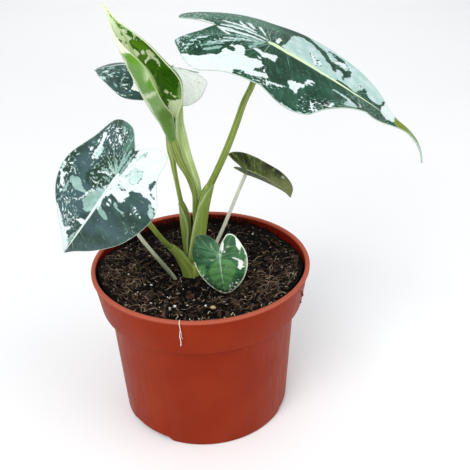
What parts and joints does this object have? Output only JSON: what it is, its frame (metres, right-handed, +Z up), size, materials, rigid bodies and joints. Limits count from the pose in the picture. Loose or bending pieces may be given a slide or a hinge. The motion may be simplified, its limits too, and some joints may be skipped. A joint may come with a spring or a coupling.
{
  "type": "potted aroid plant",
  "caption": "Young houseplant with large arrow-shaped variegated leaves on arching stalks, one leaf still unrolling, standing in a tapered nursery pot of soil.",
  "frame": {"origin": "middle of the pot's base, on the surface that the pot stands on", "axes": "+Z up; seen along +Y, the largest leaf points to the right, +X"},
  "size_m": [0.1836, 0.12, 0.2305],
  "materials": {
    "pot": "satin moulded plastic, terracotta colour",
    "soil": "damp dark potting mix with bark, fibres and white grains",
    "stalk": "smooth green living skin",
    "pale_stalk": "smooth pale green living skin",
    "leaf": "velvety dark green with white and silver patches",
    "young_leaf": "glossy fresh green with cream patches"
  },
  "bodies": {
    "root": {"pot": "pot", "soil": "soil", "crown": "stalk", "petiole_right": "stalk", "petiole_left": "stalk", "petiole_back": "stalk", "petiole_young": "stalk", "petiole_side": "pale_stalk", "petiole_front": "pale_stalk", "petiole_low": "pale_stalk", "spear": "pale_stalk", "blade_right": "leaf", "blade_left": "leaf", "blade_back": "leaf", "blade_front": "leaf", "blade_side": "leaf", "blade_low": "leaf", "blade_young": "young_leaf"}
  },
  "joints": []
}
